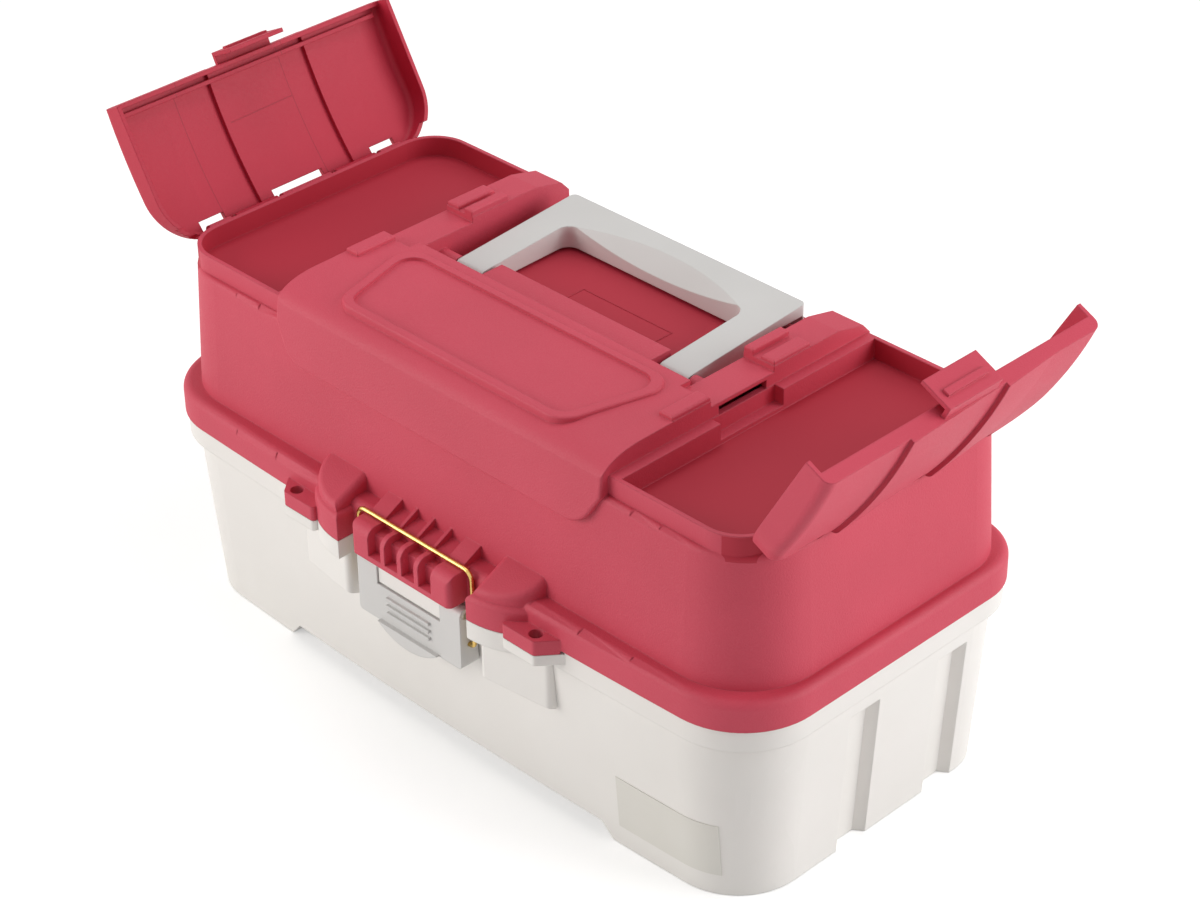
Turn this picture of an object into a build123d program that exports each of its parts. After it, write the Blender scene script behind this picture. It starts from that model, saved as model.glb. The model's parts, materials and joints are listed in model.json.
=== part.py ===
"""Two-tray tackle box with a hinged lid, two top bins with doors, a folding handle and a draw latch.

Millimetres. The origin is on the floor under the middle of the box, +X to the right end, +Y to the
back and +Z up. The lid, the latch and the handle are closed, and both bin doors stand open.
"""
import os
from math import atan2, degrees, hypot, radians, tan

from build123d import *

# Outline of the lid's flange and of the tub
flange_half_length = 206.5
flange_half_depth = 96.9
front_bow = 5.6
flange_corner = 41.0
rear_tighter = 9.0
seam_height = 103.3
seam_gap = 0.2
wall = 2.6

# Base tub
tub_draft = 4.2
tub_corner = 42.7
rim_height = 11.8
rim_inset = 1.4
rim_step_ends = 3.4
rim_step_sides = 1.8
foot_height = 8.0
foot_length = 86.0
foot_slope = 7.0
floor_thickness = 3.0
centre_foot_half_length = 60.0
centre_foot_half_depth = 40.0
groove_places = (-14.5, 46.0)
groove_width = 20.0
groove_floor_width = 13.0
groove_depth = 5.0
groove_drop = 11.0

# Lid
flange_height = 15.5
flange_round = 4.4
flange_step = 5.2
lid_wall_height = 83.5
lid_corner = 41.0
lid_bow = 0.6
lid_draft = 3.0
shoulder_round = 2.5
ceiling_thickness = 3.2

# Bridge across the middle of the lid, its slopes given in from its ends and down from its top
bridge_half = 110.0
bridge_rise = 19.0
bridge_rear_inset = 1.3
bridge_wall = 3.0
front_slope = ((-2.3, 12.0), (-0.3, 7.3), (4.2, 3.9), (11.5, 1.4), (22.5, 0.2), (37.3, 0.0))
rear_slope = ((22.0, 0.0), (5.0, 4.0), (0.0, 9.5))
hollow_slope = ((0.8, 9.0), (6.0, 4.5))
hollow_run = 17.0
rail_width = 19.0
rail_dip_depth = 3.0
rail_dip_half = 20.6
boss_width = 8.2
boss_length = 24.0
boss_rise = 2.4
inner_boss_width = 5.4
inner_boss_rise = 3.6
boss_round = 1.3
platform_setback = 7.3
platform_gap = 7.0
platform_margin = 18.0
platform_taper = 16.0
platform_rise = 1.6
platform_corner = 12.0
platform_round = 1.2
recess_margin = 4.2
recess_rear_margin = 6.5
recess_corner = 9.5
recess_depth = 2.4
apron_proud = 4.2
apron_draft = 8.2
apron_drop = 18.6
apron_taper = 11.0
apron_round = 18.0
apron_edge = 1.5

# Handle pocket and handle
pocket_reach = 14.5
pocket_floor_rise = 0.4
ledge_gap = 3.0
ledge_reach = 7.7
ledge_drop = 8.0
handle_side_gap = 13.0
handle_arm_width = 18.0
handle_pivot_y = 0.5
handle_pivot_rise = 5.0
handle_end_radius = 4.3
handle_rear_gap = 8.7
handle_rear_rise = 15.0
handle_floor_gap = 1.6
grip_depth = 21.8
handle_wall = 2.4
handle_skirt_cut = 26.0
handle_lip = 4.5
handle_corner = 3.0
handle_inner_corner = 7.0
scoop_bulge = 11.0
scoop_fall = 7.0
scoop_inset = 2.0
handle_boss_gap = 0.8
handle_pin_radius = 2.0

# Top bins
bin_margin = 6.0
lip_inset = 6.9
lip_side_inset = 2.8
lip_height = 9.7
lip_thickness = 2.2
lip_corner = 22.0
bin_sink = 1.0
catch_slack = 3.5
catch_rise = 2.0
slot_slack = 2.5
slot_drop = 9.4
slot_height = 4.4

# Bin doors, drawn closed and then swung open
door_latch_gap = 10.0
door_hinge_gap = 3.6
door_hinge_rise = 5.0
door_outer_reach = 3.4
door_side_gap = 3.1
door_corner_gap = 6.0
door_crown = 3.0
door_hinge_fall = 0.9
door_hem_gap = 0.6
door_latch_hem_gap = 5.0
door_hinge_hem_drop = 0.9
door_notch_inset = 4.0
door_latch_wall = 7.0
door_wall = 2.2
door_round = 5.0
right_door_open = 116.3
left_door_open = 116.3
door_barrel = 3.0
door_barrel_gap = 3.0
door_rod_radius = 1.5
door_knuckles = ((-56.0, 14.0), (0.0, 32.0), (56.0, 14.0))
door_knuckle_gap = 0.8
door_notch = 2.6
door_tab_half = 17.0
door_tab_reach = 6.4
door_tab_thickness = 2.2
door_tab_gap = 0.8
door_tab_barb = 1.2
door_tab_barb_inset = 4.0
door_steps = ((-38.0, 23.0), (23.0, 55.0))
door_step_rise = 2.2
door_rib_inset = 5.0
door_rib_end = 6.0
door_rib_drop = 2.5

# Rear hinge of the lid
hinge_offset = 4.5
hinge_barrel = 4.0
hinge_rod_radius = 2.0
hinge_places = (-130.0, 0.0, 130.0)
base_knuckle = 24.0
lid_knuckle = 16.0
knuckle_gap = 0.6

# Draw latch: keeper on the lid, lever on the base and wire bail
latch_skirt = 1.7
keeper_half = 34.2
keeper_reach = 11.5
keeper_rise = 15.4
keeper_ledge_depth = 11.6
keeper_floor_rise = 2.4
keeper_rib_foot = 1.2
keeper_rib_rise = 7.2
keeper_round = 5.5
keeper_corner = 3.0
keeper_windows = 4
keeper_rib = 2.9
keeper_thin_rib = 1.8
keeper_end = 12.2
keeper_window_depth = 5.0
keeper_pit = 4.0
keeper_sill = 3.0
lever_overhang = 1.8
lever_arm = 14.0
lever_reach = 7.1
lever_rim_gap = 1.0
lever_wall_gap = 0.9
lever_drop = 37.3
lever_panel_drop = 16.5
lever_panel = 3.0
lever_pivot_drop = 8.1
lever_barrel = 3.8
lever_pin_radius = 1.6
lever_corner = 2.0
post_setback = 0.8
post_gap = 0.9
thumb_rib_drops = (4.8, 9.0, 13.2)
thumb_rib_half = 15.0
thumb_rib_size = 1.4
thumb_lip_half = 21.0
thumb_lip_height = 1.0
thumb_lip_hang = 6.0
thumb_lip_reach = 2.2
bail_wire = 1.2
bail_overhang = 3.4
bail_lift = 0.3
bail_setback = 1.5
bail_drop = 24.8
bail_hook = 7.5
bail_bend = 5.0
bail_foot_bend = 2.4

# Guards beside the latch, with a padlock tab on each, and the pillars of the tub below them
guard_gap = 5.6
guard_width = 33.5
guard_reach = 10.8
guard_set = 6.4
wing_height = 12.5
wing_round = 3.4
guard_inset = 2.6
guard_rise = 25.3
guard_fall = 10.8
guard_round = 3.4
tab_start = 21.0
tab_reach = 8.5
tab_point = 8.5
tab_width = 18.5
tab_slope = 12.0
tab_round = 2.0
tab_thickness = 7.7
tab_lug = 5.6
padlock_shift = 5.0
padlock_reach = 3.1
padlock_radius = 3.4
padlock_slack = 0.3
pillar_inset = 1.0
pillar_reach = 5.3
pillar_width = 41.0
pillar_taper = 7.0
pillar_depth = 27.5
pillar_slope = 4.0
pillar_corner = 3.0

# Trays and their arms
arm_inset = 8.8
arm_thickness = 3.0
arm_half_width = 4.6
layer_gap = 0.8
lug_thickness = 3.0
lug_half_width = 6.5
pin_radius = 2.0
arm_reach_y = -85.0
arm_reach_z = 5.6
rear_pivot_y = 41.4
rear_pivot_drop = 9.9
front_pivot_shift_y = -38.0
front_pivot_shift_z = -12.0
lower_share = 0.5
boss_radius = 4.8
tray_wall = 2.0
tray_boss_length = 8.0
upper_tray_lift = 11.7
upper_tray_depth = 35.0
lower_tray_drop = 26.3
lower_tray_depth = 34.0
tray_front_gap = 11.0
tray_rear_gap = 21.0
tray_corner = 18.0
divider_thickness = 1.6
divider_count = 5
divider_pitch = 60.0
divider_drop = 4.0
divider_slack = 0.1

# Bare label on the front of the tub
label_inset = 45.0
label_z = 27.0
label_width = 58.0
label_height = 30.0
label_thickness = 0.3

# Clearances, and how far joined forms run into each other
running = 0.05
clearance = 0.4
bite = 1.0

# Worked out from the values above: tub and lid
sides = (-1, 1)
far = 2 * flange_half_length
lean = tan(radians(tub_draft))
lid_lean = tan(radians(lid_draft))
lid_bottom = seam_height + seam_gap
rim_bottom = seam_height - rim_height
rim_half_length = flange_half_length - rim_inset
rim_half_depth = flange_half_depth - rim_inset
rim_corner = flange_corner - rim_inset
floor_half_length = rim_half_length - rim_step_ends - rim_bottom * lean
floor_half_depth = rim_half_depth - rim_step_sides - rim_bottom * lean
floor_corner = tub_corner - rim_bottom * lean
tub_floor = foot_height + floor_thickness
foot_inner = floor_half_length - foot_length
groove_top = rim_bottom - groove_drop
label_x = floor_half_length - label_inset
lid_half_length = flange_half_length - flange_step
lid_half_depth = flange_half_depth - flange_step
shoulder_height = lid_bottom + lid_wall_height
shoulder_half_length = lid_half_length - lid_wall_height * lid_lean
shoulder_half_depth = lid_half_depth - lid_wall_height * lid_lean
hinge_line = (flange_half_depth + hinge_offset, seam_height + seam_gap / 2)

# Bridge, pocket and handle
bridge_top = shoulder_height + bridge_rise
bridge_rear = shoulder_half_depth - bridge_rear_inset
rail_inner = bridge_half - rail_width
rail_dip = bridge_top - rail_dip_depth
pocket_front = handle_pivot_y - pocket_reach
pocket_floor = shoulder_height + pocket_floor_rise
platform_front = platform_setback - shoulder_half_depth
platform_rear = pocket_front - platform_gap
platform_rear_half = bridge_half - platform_margin
platform_front_half = platform_rear_half - platform_taper
platform_top = bridge_top + platform_rise
apron_bottom = shoulder_height - apron_drop
apron_bottom_half = bridge_half - apron_taper
handle_outer = rail_inner - handle_side_gap
handle_inner = handle_outer - handle_arm_width
handle_pivot = (handle_pivot_y, pocket_floor + handle_pivot_rise)
handle_rear = bridge_rear - handle_rear_gap
handle_rear_top = pocket_floor + handle_rear_rise
handle_bottom = pocket_floor + handle_floor_gap
grip_front = handle_rear - grip_depth
ledge_half = handle_inner - ledge_gap
ledge_rear = handle_pivot_y + ledge_reach
ledge_top = bridge_top - ledge_drop

# Bins and doors
bin_inner = bridge_half + bin_margin
bin_floor = shoulder_height - bin_sink
ceiling = bin_floor - ceiling_thickness
lip_outer = shoulder_half_length - lip_inset
lip_half_depth = shoulder_half_depth - lip_side_inset
lip_top = shoulder_height + lip_height
catch_half = door_tab_half + catch_slack
catch_ledge = bin_floor + catch_rise
slot_low = bridge_top - slot_drop
slot_high = slot_low + slot_height
slot_half = door_tab_half - door_tab_barb_inset + slot_slack
door_latch_edge = bridge_half + door_latch_gap
door_hinge_x = lip_outer + door_hinge_gap
door_hinge_z = shoulder_height + door_hinge_rise
door_outer = door_hinge_x + door_outer_reach
door_half_depth = lip_half_depth + door_side_gap
door_corner = lip_corner + door_corner_gap
door_top = bridge_top
door_hinge_top = lip_top + door_wall - door_hinge_fall
door_hem = shoulder_height + door_hem_gap
door_latch_hem = shoulder_height + door_latch_hem_gap
door_hinge_hem = door_hinge_z - door_hinge_hem_drop
door_hem_notch = lip_outer - door_notch_inset
door_barrels = [
    (near + near_width / 2 + door_barrel_gap, next_one - next_width / 2 - door_barrel_gap)
    for (near, near_width), (next_one, next_width) in zip(door_knuckles, door_knuckles[1:])
]

# Latch and guards
front_face = -flange_half_depth - front_bow
rim_face = front_face + rim_inset
skirt_bottom = lid_bottom - latch_skirt
keeper_front = front_face - keeper_reach
keeper_ledge = lid_bottom + keeper_rise
keeper_ledge_rear = keeper_front + keeper_ledge_depth
lever_half = keeper_half + lever_overhang
lever_gap_half = lever_half - lever_arm - clearance
lever_front = front_face - lever_reach
lever_rear = rim_face - lever_rim_gap
lever_bottom = seam_height - lever_drop
lever_panel_top = seam_height - lever_panel_drop
lever_pivot = (lever_front + lever_barrel, seam_height - lever_pivot_drop)
bail_half = lever_half + bail_overhang
bail_top = keeper_ledge + bail_wire + bail_lift
bail_pivot = (front_face - bail_setback, seam_height - bail_drop)
guard_inner = bail_half + guard_gap
guard_outer = guard_inner + guard_width
guard_front = front_face - guard_reach
guard_back = guard_set - flange_half_depth
tab_top = skirt_bottom + tab_thickness
padlock_place = (guard_outer + padlock_shift, front_face - padlock_reach)
pillar_top = seam_height - latch_skirt
pillar_bottom = rim_bottom - pillar_depth
pillar_front = front_face - pillar_reach
tab_front = front_face - tab_reach

# Trays and arms
arm_outer = floor_half_length - arm_inset
arm_inner = arm_outer - arm_thickness
lug_outer = arm_inner - layer_gap
lug_inner = lug_outer - lug_thickness
lower_tray_end = lug_inner - layer_gap
upper_tray_bottom = seam_height + upper_tray_lift
upper_tray_top = upper_tray_bottom + upper_tray_depth
lower_tray_bottom = seam_height - lower_tray_drop
lower_tray_top = lower_tray_bottom + lower_tray_depth
tray_front = tray_front_gap - floor_half_depth
tray_rear = floor_half_depth - tray_rear_gap
divider_places = [(i - (divider_count - 1) / 2) * divider_pitch for i in range(divider_count)]
rear_pivot = (rear_pivot_y, seam_height - rear_pivot_drop)
lid_pin = (hinge_line[0] + arm_reach_y, hinge_line[1] + arm_reach_z)
upper_pin = (rear_pivot[0] + arm_reach_y, rear_pivot[1] + arm_reach_z)
lower_pin = (rear_pivot[0] + lower_share * arm_reach_y, rear_pivot[1] + lower_share * arm_reach_z)
front_pivot = (rear_pivot[0] + front_pivot_shift_y, rear_pivot[1] + front_pivot_shift_z)
front_pin = (lower_pin[0] + front_pivot_shift_y, lower_pin[1] + front_pivot_shift_z)


def box_plan(half_length, half_depth, corner, bow=front_bow):
    """Plan of the box: straight back and ends, a front that bows out, and round corners, tighter at the back."""
    with BuildSketch() as plan:
        with BuildLine():
            ThreePointArc((-half_length, -half_depth), (0, -half_depth - bow), (half_length, -half_depth))
            Polyline(
                (half_length, -half_depth),
                (half_length, half_depth),
                (-half_length, half_depth),
                (-half_length, -half_depth),
            )
        make_face()
        fillet(plan.vertices().sort_by(Axis.Y)[:2], corner)
        fillet(plan.vertices().sort_by(Axis.Y)[-2:], corner - rear_tighter)
    return plan.sketch


def flange_plan(inset):
    """Plan of the lid's flange, drawn in by an inset."""
    return box_plan(flange_half_length - inset, flange_half_depth - inset, flange_corner - inset)


def tub_plan(height, inset):
    """Plan of the tub's drafted wall at a height, drawn in by an inset."""
    grow = height * lean - inset
    return box_plan(floor_half_length + grow, floor_half_depth + grow, floor_corner + grow)


def tub_face(height):
    """Foremost y of the tub's drafted front at a height."""
    return -floor_half_depth - front_bow - height * lean


def lid_plan(height, inset):
    """Plan of the lid's drafted wall at a height, drawn in by an inset."""
    grow = (lid_bottom - height) * lid_lean - inset
    return box_plan(lid_half_length + grow, lid_half_depth + grow, lid_corner + grow, lid_bow)


def block(x_range, y_range, z_range, mode=Mode.ADD):
    """Straight block between two corners, in the part at hand."""
    low, high = zip(*(sorted(pair) for pair in (x_range, y_range, z_range)))
    with Locations(tuple((a + b) / 2 for a, b in zip(low, high))):
        Box(*(b - a for a, b in zip(low, high)), mode=mode)


def bar_x(place, radius, x_range, mode=Mode.ADD):
    """Round bar along X through a (y, z) place, in the part at hand."""
    low, high = sorted(x_range)
    with Locations(((low + high) / 2, *place)):
        Cylinder(radius, high - low, rotation=(0, 90, 0), mode=mode)


def bar_y(x, z, radius, y_range, mode=Mode.ADD):
    """Round bar along Y, in the part at hand."""
    low, high = sorted(y_range)
    with Locations((x, (low + high) / 2, z)):
        Cylinder(radius, high - low, rotation=(90, 0, 0), mode=mode)


def side_profile(points, x_range, mode=Mode.ADD):
    """Profile of (y, z) points carried along X, in the part at hand."""
    low, high = sorted(x_range)
    with BuildSketch(Plane.YZ.offset(low)) as profile:
        with BuildLine():
            Polyline(*points, close=True)
        make_face()
    extrude(profile.sketch, amount=high - low, mode=mode)


def end_profile(points, y_range, mode=Mode.ADD):
    """Profile of (x, z) points carried along Y, in the part at hand."""
    low, high = sorted(y_range)
    with BuildSketch(Plane.XZ.offset(-high)) as profile:
        with BuildLine():
            Polyline(*points, close=True)
        make_face()
    extrude(profile.sketch, amount=high - low, mode=mode)


def plan_block(points, z_range, corner, mode=Mode.ADD):
    """Block on a plan of (x, y) points with round corners, in the part at hand."""
    low, high = sorted(z_range)
    with BuildSketch(Plane.XY.offset(low)) as plan:
        with BuildLine():
            Polyline(*points, close=True)
        make_face()
        fillet(plan.vertices(), corner)
    extrude(plan.sketch, amount=high - low, mode=mode)


def bin_form(side, inset, inner, bottom, top):
    """Block over one top bin, from an inner x to the lip, drawn in by an inset at the lip's three sides."""
    outer = lip_outer - inset
    with BuildPart() as form:
        with BuildSketch(Plane.XY.offset(bottom)) as plan:
            with Locations(((inner + outer) / 2, 0)):
                Rectangle(outer - inner, 2 * (lip_half_depth - inset))
            fillet(plan.vertices().sort_by(Axis.X)[-2:], lip_corner - inset)
        extrude(amount=top - bottom)
    return form.part if side > 0 else form.part.mirror(Plane.YZ)


def door_section(inset, rounded):
    """Section of the closed right door across its hinge, drawn in by an inset."""
    latch_edge = door_latch_edge + inset
    outer = door_outer - inset
    with BuildSketch(Plane.XZ) as section:
        with BuildLine():
            ThreePointArc(
                (latch_edge, door_top - inset),
                ((latch_edge + outer) / 2, (door_top + door_hinge_top) / 2 + door_crown - inset),
                (outer, door_hinge_top - inset),
            )
            Polyline(
                (outer, door_hinge_top - inset),
                (outer, 0),
                (latch_edge, 0),
                (latch_edge, door_top - inset),
            )
        make_face()
        if rounded:
            fillet(section.vertices().sort_by(Axis.X)[-2:].sort_by(Axis.Y)[-1], door_round - inset)
    return section.sketch


def door_shape(inset):
    """Solid outline of the closed right door, drawn in by an inset on every side but the open underside."""
    latch_edge = door_latch_edge + inset
    outer = door_outer - inset
    with BuildPart() as shape:
        with BuildSketch(Plane.XY.offset(door_hem - inset)) as plan:
            with Locations(((latch_edge + outer) / 2, 0)):
                Rectangle(outer - latch_edge, 2 * (door_half_depth - inset))
            fillet(plan.vertices().sort_by(Axis.X)[-2:], door_corner - inset)
        extrude(amount=door_top + door_crown - door_hem)
        extrude(door_section(inset, False), amount=far, both=True, mode=Mode.INTERSECT)
        top_edges = shape.faces().sort_by(Axis.Z)[-1].edges().sort_by(Axis.X)
        fillet(top_edges[1:], door_round - inset)
    return shape.part


def door_solid(inset):
    """Outline of the closed right door with its panels raised in steps towards the back."""
    solid = door_shape(inset)
    for start, end in door_steps:
        low = start + inset
        run = Vector(0, end - start, -door_step_rise)
        slab = Pos(0, low + run.Y / 2, 0) * Box(2 * far, run.Y, 2 * far)
        raised = extrude(Pos(0, low, door_step_rise) * door_section(inset, True), amount=run.length, dir=run)
        solid = solid - slab + raised
    return solid


def groove_form(side, place, grow, top):
    """Prism over one end groove that leans with the tub's wall, grown by a wall thickness."""
    flare = (groove_width - groove_floor_width) / (2 * groove_depth)
    inner_half = groove_floor_width / 2 + grow * (1 - flare)
    outer_half = groove_width / 2 + grow + flare * groove_depth
    inner = side * (floor_half_length - groove_depth - grow)
    outer = side * (floor_half_length + groove_depth)
    with BuildPart() as form:
        with BuildSketch():
            with BuildLine():
                Polyline(
                    (inner, place - inner_half),
                    (outer, place - outer_half),
                    (outer, place + outer_half),
                    (inner, place + inner_half),
                    close=True,
                )
            make_face()
        extrude(amount=top * hypot(1, lean), dir=(side * lean, 0, 1))
    return form.part


def guard_plan(inset):
    """Plan of the right latch guard: a quarter of an ellipse, drawn in by an inset."""
    with BuildSketch() as plan:
        with Locations((guard_inner + inset, guard_back)):
            Ellipse(guard_width - 2 * inset, guard_back - guard_front - inset)
            Rectangle(guard_width, guard_back - guard_front, align=(Align.MIN, Align.MAX), mode=Mode.INTERSECT)
    return plan.sketch


def guard_block(inset, bottom, top):
    """Upright block on the plan of the right latch guard."""
    with BuildPart() as form:
        with BuildSketch(Plane.XY.offset(bottom)):
            add(guard_plan(inset))
        extrude(amount=top - bottom)
    return form.part


def raised_boss(x_range, y_range, z_range):
    """Block with round top edges."""
    with BuildPart() as form:
        block(x_range, y_range, z_range)
        fillet(form.faces().sort_by(Axis.Z)[-1].edges(), boss_round)
    return form.part


def tub_boss_end(pivot):
    """Outer end of a tray pivot's boss, inside the tub's end wall."""
    return floor_half_length + (pivot[1] - boss_radius) * lean - wall / 2


def tray_shell(end, bottom, top):
    """Open tray between two ends, in the part at hand."""
    for inset, low, mode in ((0, bottom, Mode.ADD), (tray_wall, bottom + tray_wall, Mode.SUBTRACT)):
        plan_block(
            [
                (-end + inset, tray_front + inset),
                (end - inset, tray_front + inset),
                (end - inset, tray_rear - inset),
                (-end + inset, tray_rear - inset),
            ],
            (low, top),
            tray_corner - inset,
            mode,
        )


def tray_dividers(bottom, top):
    """Cross dividers standing in a tray, in the part at hand."""
    inset = tray_wall + divider_slack
    for place in divider_places:
        block(
            (place - divider_thickness / 2, place + divider_thickness / 2),
            (tray_front + inset, tray_rear - inset),
            (bottom + tray_wall, top - divider_drop),
        )


def tray_arm(side, pivots):
    """Flat arm with a pin hole at each (y, z) pivot, in the part at hand."""
    layer = (side * arm_inner, side * arm_outer)
    (start_y, start_z), (end_y, end_z) = pivots[0], pivots[-1]
    reach = hypot(end_y - start_y, end_z - start_z)
    across_y = (start_z - end_z) / reach * arm_half_width
    across_z = (end_y - start_y) / reach * arm_half_width
    side_profile(
        [
            (start_y + across_y, start_z + across_z),
            (end_y + across_y, end_z + across_z),
            (end_y - across_y, end_z - across_z),
            (start_y - across_y, start_z - across_z),
        ],
        layer,
    )
    for pivot in (pivots[0], pivots[-1]):
        bar_x(pivot, arm_half_width, layer)
    for pivot in pivots:
        bar_x(pivot, pin_radius + running, layer, Mode.SUBTRACT)


def finish(builder, name):
    """Label a finished piece and write its file."""
    builder.part.label = name
    export_step(builder.part, f"parts/{name}.step")


os.makedirs("parts", exist_ok=True)

# Padlock tab beside a guard, on the right, as a plan
tab_plan = [
    (guard_inner + tab_start, guard_back),
    (guard_inner + tab_start, tab_front),
    (guard_outer + tab_point, tab_front),
    (guard_outer + tab_width, tab_front + tab_slope),
    (guard_outer + tab_width, guard_back),
]

# Pillar of the tub under one latch guard, drawn for the right side
with BuildPart() as pillar_form:
    plan_block(
        [
            (guard_inner + pillar_inset, guard_back),
            (guard_inner + pillar_inset, pillar_front),
            (guard_inner + pillar_width, pillar_front + pillar_taper),
            (guard_inner + pillar_width, guard_back),
        ],
        (pillar_bottom, rim_bottom),
        pillar_corner,
    )
    side_profile(
        [
            (pillar_front - bite, pillar_bottom + pillar_slope),
            (tub_face(pillar_bottom), pillar_bottom),
            (pillar_front - bite, pillar_bottom - bite),
        ],
        (guard_inner, guard_outer + tab_width),
        Mode.SUBTRACT,
    )
    add(guard_block(0, rim_bottom, pillar_top))
    plan_block(tab_plan, (pillar_top - tab_lug, pillar_top), tab_round)
    with Locations((*padlock_place, seam_height)):
        Cylinder(padlock_radius + padlock_slack, far, mode=Mode.SUBTRACT)

# Hollow of the tub and of its end feet, less the walls round the end grooves
with BuildPart() as tub_hollow:
    with BuildSketch(Plane.XY.offset(tub_floor)):
        add(tub_plan(tub_floor, wall))
    extrude(amount=rim_bottom + wall - tub_floor, taper=-tub_draft)
    with BuildSketch(Plane.XY.offset(floor_thickness)):
        add(tub_plan(floor_thickness, wall))
        Rectangle(2 * (foot_inner + foot_slope + wall), far, mode=Mode.SUBTRACT)
    extrude(amount=foot_height, taper=-tub_draft)
    for side in sides:
        for place in groove_places:
            add(groove_form(side, place, wall, groove_top + wall), mode=Mode.SUBTRACT)

# Base tub: drafted shell with a rim, hollow feet, end grooves, latch post and hinge knuckles
with BuildPart() as base_tub:
    with BuildSketch():
        add(tub_plan(0, 0))
    extrude(amount=rim_bottom, taper=-tub_draft)
    end_profile(
        [
            (-foot_inner - foot_slope, 0),
            (-foot_inner, foot_height),
            (foot_inner, foot_height),
            (foot_inner + foot_slope, 0),
        ],
        (-far, far),
        Mode.SUBTRACT,
    )
    block(
        (-centre_foot_half_length, centre_foot_half_length),
        (-centre_foot_half_depth, centre_foot_half_depth),
        (0, tub_floor),
    )
    with BuildSketch(Plane.XY.offset(rim_bottom)):
        add(box_plan(rim_half_length, rim_half_depth, rim_corner))
    extrude(amount=rim_height)
    add(pillar_form.part)
    add(mirror(pillar_form.part, about=Plane.YZ, mode=Mode.PRIVATE))
    block(
        (-lever_gap_half, lever_gap_half),
        (lever_front + post_setback, -floor_half_depth),
        (lever_panel_top + post_gap, lever_pivot[1] + lever_barrel),
    )
    add(tub_hollow.part, mode=Mode.SUBTRACT)
    with BuildSketch(Plane.XY.offset(rim_bottom + wall)):
        add(box_plan(rim_half_length - wall, rim_half_depth - wall, rim_corner - wall))
    extrude(amount=rim_height, mode=Mode.SUBTRACT)
    block(
        (wall - centre_foot_half_length, centre_foot_half_length - wall),
        (wall - centre_foot_half_depth, centre_foot_half_depth - wall),
        (floor_thickness, tub_floor),
        Mode.SUBTRACT,
    )
    for side in sides:
        for place in groove_places:
            add(groove_form(side, place, 0, groove_top), mode=Mode.SUBTRACT)
        for pivot in (rear_pivot, front_pivot):
            boss = (side * (arm_outer + clearance), side * tub_boss_end(pivot))
            bar_x(pivot, boss_radius, boss)
            bar_x(pivot, pin_radius + running, boss, Mode.SUBTRACT)
    for place in hinge_places:
        knuckle = (place - base_knuckle / 2, place + base_knuckle / 2)
        bar_x(hinge_line, hinge_barrel, knuckle)
        block(knuckle, (rim_half_depth - wall / 2, hinge_line[0]), (hinge_line[1] - hinge_barrel, seam_height))
        bar_x(hinge_line, hinge_rod_radius + running, knuckle, Mode.SUBTRACT)
    bar_x(lever_pivot, lever_pin_radius + running, (-lever_gap_half, lever_gap_half), Mode.SUBTRACT)
finish(base_tub, "base_tub")

# Bare label, a thin skin on the drafted front of the tub
with BuildPart() as front_label:
    with BuildSketch():
        add(tub_plan(0, -label_thickness))
    extrude(amount=rim_bottom, taper=-tub_draft)
    with BuildSketch():
        add(tub_plan(0, 0))
    extrude(amount=rim_bottom, taper=-tub_draft, mode=Mode.SUBTRACT)
    with Locations((label_x, -far / 2, label_z)):
        Box(label_width, far, label_height, mode=Mode.INTERSECT)
finish(front_label, "front_label")

# Bridge and front apron of the lid as one leaning form, trimmed by its side and front outlines
front_crest = [(inset - shoulder_half_depth, bridge_top - drop) for inset, drop in front_slope]
rear_crest = [(bridge_rear - inset, bridge_top - drop) for inset, drop in rear_slope]
with BuildPart() as bridge_form:
    with BuildSketch(Plane.XY.offset(apron_bottom)):
        add(lid_plan(apron_bottom, -apron_proud))
    extrude(amount=bridge_top - apron_bottom, taper=apron_draft)
    with BuildSketch(Plane.YZ.offset(-bridge_half)):
        with BuildLine():
            Spline(*front_crest)
            Polyline(
                front_crest[-1],
                *rear_crest,
                (bridge_rear, shoulder_height - wall),
                (0, shoulder_height - wall),
                (0, apron_bottom),
                (-far, apron_bottom),
                (-far, front_crest[0][1]),
                front_crest[0],
            )
        make_face()
    extrude(amount=2 * bridge_half, mode=Mode.INTERSECT)
    with BuildSketch(Plane.XZ.offset(-far)) as front_outline:
        with BuildLine():
            Polyline(
                (-bridge_half, bridge_top),
                (-bridge_half, shoulder_height),
                (-apron_bottom_half, apron_bottom),
                (apron_bottom_half, apron_bottom),
                (bridge_half, shoulder_height),
                (bridge_half, bridge_top),
                close=True,
            )
        make_face()
        fillet(front_outline.vertices().group_by(Axis.Y)[0], apron_round)
    extrude(amount=2 * far, mode=Mode.INTERSECT)
    apron_face = bridge_form.faces().filter_by(lambda face: face.normal_at().Y < -0.9).sort_by(Axis.Z)[0]
    fillet(apron_face.edges().sort_by(Axis.Z)[:-1], apron_edge)

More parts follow.
